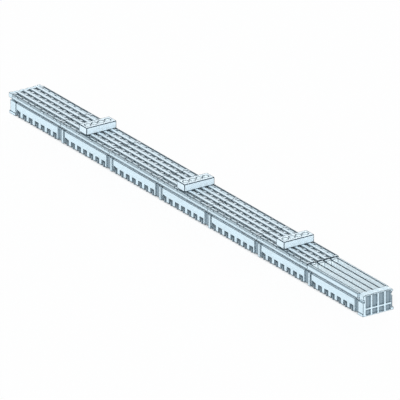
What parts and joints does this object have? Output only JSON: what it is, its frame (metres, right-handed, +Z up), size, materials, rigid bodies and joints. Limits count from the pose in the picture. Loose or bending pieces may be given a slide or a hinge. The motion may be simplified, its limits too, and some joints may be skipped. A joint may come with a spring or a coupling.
{
  "type": "insulated busbar",
  "caption": "Long insulated power busbar: flat bars on edge in pale moulded channels under slotted clip-on covers, with plug-in connection blocks and end caps.",
  "frame": {"origin": "on the floor plane, under the middle of the bounding box", "axes": "+X along the bars towards the open module, +Y across the poles, +Z up out of the covers"},
  "size_m": [1.434, 0.0878, 0.0705],
  "materials": {
    "housing_plastic": "fine satin moulded grain",
    "cover_plastic": "fine satin moulded grain",
    "end_cap_plastic": "fine satin moulded grain",
    "block_plastic": "fine satin moulded grain",
    "tinned_copper": "tin-plated copper bar"
  },
  "bodies": {
    "root": {"end_cap_left": "end_cap_plastic", "end_cap_right": "end_cap_plastic", "housing_module_1": "housing_plastic", "housing_module_2": "housing_plastic", "housing_module_3": "housing_plastic", "housing_module_4": "housing_plastic", "housing_module_5": "housing_plastic", "housing_module_6": "housing_plastic", "housing_module_7": "housing_plastic", "slotted_cover_1": "cover_plastic", "slotted_cover_2": "cover_plastic", "slotted_cover_3": "cover_plastic", "slotted_cover_4": "cover_plastic", "slotted_cover_5": "cover_plastic", "slotted_cover_6": "cover_plastic", "busbar_1": "tinned_copper", "busbar_2": "tinned_copper", "busbar_3": "tinned_copper", "busbar_4": "tinned_copper", "connection_block_1": "block_plastic", "connection_block_2": "block_plastic", "connection_block_3": "block_plastic"}
  },
  "joints": []
}
